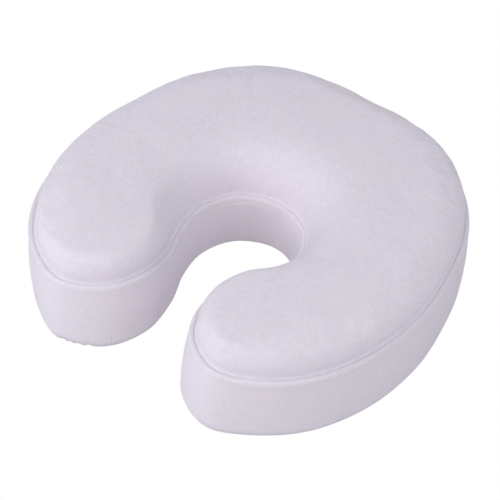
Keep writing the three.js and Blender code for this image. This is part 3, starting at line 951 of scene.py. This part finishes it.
# The curls are lighter at their middles and darker towards the gaps between them, where the bump is low:
# painted shade in the gaps.
loops_gap_shade = add_node(loops_tree, "ShaderNodeMix", [(curls.outputs["Distance"], 0)], data_type="RGBA",
                      in_6=(0.86, 0.81, 0.86, 1), in_7=(0.62, 0.57, 0.64, 1))
loops_tree.links.new(loops_gap_shade.outputs[2], loops_shader.inputs["Base Color"])
loops_height = add_node(loops_tree, "ShaderNodeMath",
                        [(tangle.outputs[0], 0), (curls.outputs["Distance"], 1)],
                        operation="SUBTRACT")
raise_surface(loops_tree, loops_shader, loops_height.outputs[0], 0.8, 0.0006)

thread = woven("thread", (0.95, 0.92, 0.96, 1), (0.80, 0.76, 0.82, 1), 4000, 2500, 0.6)
STITCH_SIZE = (2.2 * MM, 0.62 * MM, 0.5 * MM)
STITCH_PITCH = 3.0 * MM


def stitches(name, lines, slot, lift=0):
    """A lock stitch modelled once and laid along lines of points, at an even pitch."""
    one = start_edit("stitch", bpy.ops.mesh.primitive_uv_sphere_add, segments=6, ring_count=5, radius=0.5)
    bpy.ops.transform.rotate(value=math.pi / 2, orient_axis="Y", center_override=(0, 0, 0))
    bpy.ops.transform.resize(value=STITCH_SIZE)
    end_edit(one)
    bpy.ops.object.select_all(action="DESELECT")
    moves = []
    for line in lines:
        length = np.concatenate([[0], np.cumsum(np.linalg.norm(np.diff(line, axis=0), axis=1))])
        for at in np.arange(STITCH_PITCH / 2, length[-1], STITCH_PITCH):
            here, ahead = (np.array([np.interp(at + step, length, line[:, k]) for k in range(3)])
                           for step in (-0.4 * MM, 0.4 * MM))
            way = Vector(ahead - here)
            middle = Vector((here + ahead) / 2) + Vector((0, 0, lift))
            moves.append(Matrix.Translation(middle) @ way.to_track_quat("X", "Z").to_matrix().to_4x4())
    piece = repeated(name, one, moves)
    return finish_piece(piece, "cushion", thread, slot)


def round_rectangle(width, length, radius, steps=6):
    """A rectangle's outline with round corners, about the origin."""
    line = []
    for cx, cy, start in ((1, -1, -90), (1, 1, 0), (-1, 1, 90), (-1, -1, 180)):
        for k in range(steps + 1):
            turn = math.radians(start + 90 * k / steps)
            line.append((cx * (width / 2 - radius) + radius * math.cos(turn),
                         cy * (length / 2 - radius) + radius * math.sin(turn)))
    return np.array(line)


PAD_CORNER = 6 * MM
FURROW_IN = 2.3 * MM
STITCH_LEVEL = 0.34 * MM
# A pad is its width and length in millimetres and its turn in radians.
PADS = {"left": (38, 130, 0.12), "right": (38, 130, -0.12), "rear": (110, 34, 0)}
# The edge of a pad in section, as millimetres in from its outline and up from its face: the
# hidden back, the cut edge, and then the shallow furrow that the stitches press all round.
PAD_SECTION = [(1.1, 2.0), (0.35, 1.96), (0, 1.75), (0, 1.0), (0.12, 0.55), (0.45, 0.2), (1.0, 0.1),
               (1.7, 0.16), (2.3, 0.5), (2.9, 0.16), (3.6, 0.03)]
for name, (width, length, turn) in PADS.items():
    node = "loop_tape_" + name
    low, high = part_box(node)
    pad_place = Matrix.Translation(((low.x + high.x) / 2, (low.y + high.y) / 2, 0))
    pad_place @= Matrix.Rotation(turn, 4, "Z")
    turned, moved = np.array(pad_place.to_3x3()), np.array(pad_place.translation)
    rim = spaced_evenly(round_rectangle(width * MM, length * MM, PAD_CORNER), STATIONS)
    outward = outward_from(rim)
    rows = [np.column_stack([rim - outward * depth * MM, np.full(STATIONS, z * MM)])
            for depth, z in PAD_SECTION]
    grid, triangles = fill(rows[-1][:, :2], 1.3 * MM)
    tufted = [0.28 * MM * (0.5 + 0.5 * noise.noise(Vector((px, py, 0)) * 700)) for px, py in grid]
    back_grid, back_triangles = fill(rows[0][:, :2], 6 * MM)
    back_z = np.full(len(back_grid), rows[0][0, 2])
    pad_points = np.vstack(rows + [np.column_stack([grid, tufted]), np.column_stack([back_grid, back_z])])
    last_row = (len(rows) - 1) * STATIONS
    faces = [f[::-1] for f in stitched_rows(rows)]
    faces += renumber(triangles, last_row, len(rows) * STATIONS, turn_over=True)
    faces += renumber(back_triangles, 0, len(rows) * STATIONS + len(grid))
    pad = make_mesh("pad_" + name, pad_points @ turned.T + moved, faces)
    finish_piece(pad, "cushion", loops, "loop_tape", node)
    sewn_line = np.column_stack([rim - outward * FURROW_IN, np.full(STATIONS, STITCH_LEVEL)])
    sewn_line = np.vstack([sewn_line, sewn_line[:1]]) @ turned.T + moved
    stitches("pad_stitching_" + name, [sewn_line], "loop_tape")

# ---------------------------------------------------------------------------------------
# Topstitching along both sides of the zip, which holds the folded edges of the underside to
# the tapes. It runs past the ends of the chain and stops just short of the ends of the slot.
TOPSTITCH_END = 0.103
TOPSTITCH_FROM_MIDDLE = SLOT + SEWN + 2.4 * MM
seam_lines = []
at_x = np.linspace(-TOPSTITCH_END, TOPSTITCH_END, 200)
for side in (-1, 1):
    line = np.column_stack([at_x, np.full(len(at_x), ZIP_Y + side * TOPSTITCH_FROM_MIDDLE)])
    seam_lines.append(np.column_stack([line, BASE + rise_to_zip(line)]))
stitches("zip_stitching", seam_lines, "velour_base", lift=-0.08 * MM)

# ---------------------------------------------------------------------------------------
# Care label: a blank tab of woven satin, folded in two and stitched down along one short side.
# Its other side hangs free and curls a little off the cover.
LABEL_LENGTH, LABEL_WIDTH = 26 * MM, 16 * MM
LABEL_TURN = 0.75
LABEL_SAG = 0.25 * MM
satin = woven("label_satin", (0.93, 0.92, 0.93, 1), (0.86, 0.85, 0.87, 1), 3000, 3000, 0.42)
label_low, label_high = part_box("care_label")
label_place = Matrix.Translation((label_low + label_high) / 2) @ Matrix.Rotation(LABEL_TURN, 4, "Z")
label = start_edit("label", bpy.ops.mesh.primitive_grid_add, x_subdivisions=26, y_subdivisions=16, size=1)
bpy.ops.transform.resize(value=(LABEL_LENGTH, LABEL_WIDTH, 1))
end_edit(label)
bpy.ops.object.select_all(action="DESELECT")
for corner in label.data.vertices:
    curl = noise.noise(Vector((corner.co.x * 90, corner.co.y * 90, 3))) * 0.2 * MM
    free_share = smooth_share(corner.co.x, -0.2 * LABEL_LENGTH, 0.5 * LABEL_LENGTH)
    corner.co.z = curl * free_share - LABEL_SAG * free_share
    corner.co = label_place @ corner.co
fold = label.modifiers.new("fold", "SOLIDIFY")
fold.thickness = 0.45 * MM
fold.offset = 0
apply_modifiers(label)
label.data.shade_smooth()
finish_piece(label, "cushion", satin, "label_satin", "care_label")
ends = [label_place @ Vector((-LABEL_LENGTH / 2 + 1.6 * MM, y, -0.28 * MM)) for y in (-7 * MM, 7 * MM)]
stitches("label_stitching", [np.array([np.array(end) for end in ends])], "label_satin")
